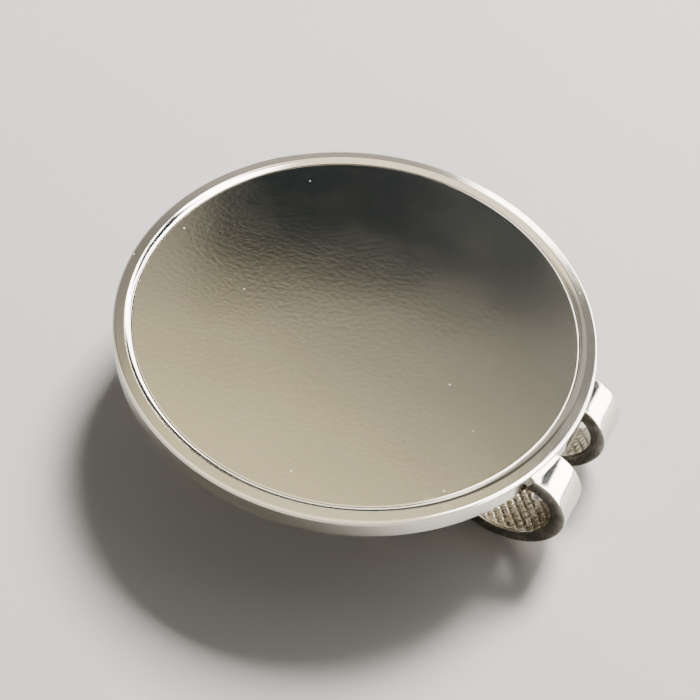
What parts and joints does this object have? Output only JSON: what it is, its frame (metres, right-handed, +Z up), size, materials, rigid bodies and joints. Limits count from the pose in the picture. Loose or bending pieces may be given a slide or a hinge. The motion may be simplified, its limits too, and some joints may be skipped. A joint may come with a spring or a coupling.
{
  "type": "coin display frame",
  "caption": "Round shallow display tray with a raised rim and a bonded polished disc, on a slotted folded spring clip with a knurled gripping leaf.",
  "frame": {"origin": "centre of the object's footprint, on the surface that it stands on", "axes": "+Z up along the tray's axis, +X towards the clip's bend, Y across the clip"},
  "size_m": [0.0318, 0.03, 0.0083],
  "materials": {
    "polished_nickel": "polished nickel plate on a casting, slightly warm",
    "disc_nickel": "satin bright nickel plate on sheet, with a faint orange-peel grain",
    "spring_nickel": "bright nickel plate on spring steel, knurled on the gripping side",
    "solder": "dull soft solder",
    "adhesive": "thin cured bonding film"
  },
  "bodies": {
    "tray": {"bezel_tray": "polished_nickel", "display_disc": "disc_nickel", "disc_adhesive": "adhesive", "clip_fixed_leg": "spring_nickel", "clip_bend_near": "spring_nickel", "clip_bend_far": "spring_nickel", "solder_film": "solder", "solder_bead_near": "solder", "solder_bead_far": "solder", "solder_bead_end": "solder"},
    "leaf": {"clip_leaf": "spring_nickel"}
  },
  "joints": [
    {"name": "clip_open", "type": "hinge", "parent": "tray", "child": "leaf", "pos_m": [0.01299, 0, 0.0034], "axis": [0, -1, 0], "range_deg": [0, 8], "stiffness_Nm_per_rad": 1, "deforming": ["clip_bend_near", "clip_bend_far"]}
  ]
}
